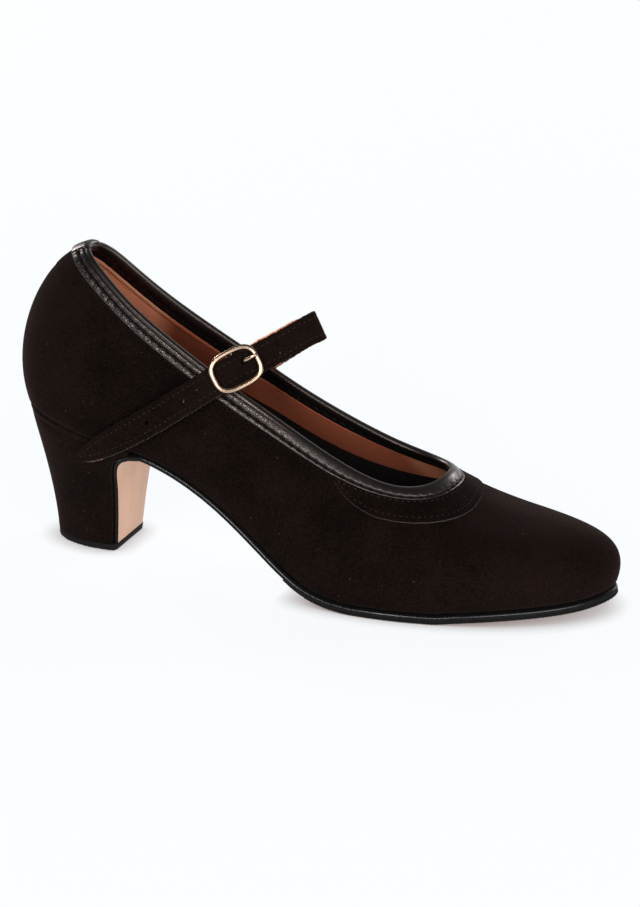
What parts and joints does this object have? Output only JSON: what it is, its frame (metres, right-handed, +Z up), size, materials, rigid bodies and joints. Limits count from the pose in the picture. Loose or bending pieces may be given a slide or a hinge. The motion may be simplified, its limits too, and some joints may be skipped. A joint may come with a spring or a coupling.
{
  "type": "flamenco shoe",
  "caption": "Black suede flamenco dancing shoe for the right foot, with a covered heel, bound topline, throat overlay and a buckled instep strap.",
  "frame": {"origin": "middle of the whole shoe's box, on the floor plane", "axes": "+X from the heel to the toe, +Y towards the inner side of the foot, +Z up"},
  "size_m": [0.241, 0.0772, 0.1204],
  "materials": {
    "suede": "matt napped suede, brown-black",
    "nappa": "glossy grained black nappa",
    "sock": "dark smooth sock leather",
    "sole_leather": "natural tan sole leather with inked edge",
    "rubber": "matt black rubber",
    "pale_gold": "polished pale gold plating"
  },
  "bodies": {
    "root": {"upper": "suede", "binding": "nappa", "throat_overlay": "suede", "insole": "sock", "outsole": "sole_leather", "half_sole": "rubber", "heel": "suede", "heel_tip": "rubber", "strap": "suede", "buckle_frame": "pale_gold", "buckle_prong": "pale_gold", "buckle_tab": "nappa"}
  },
  "joints": []
}
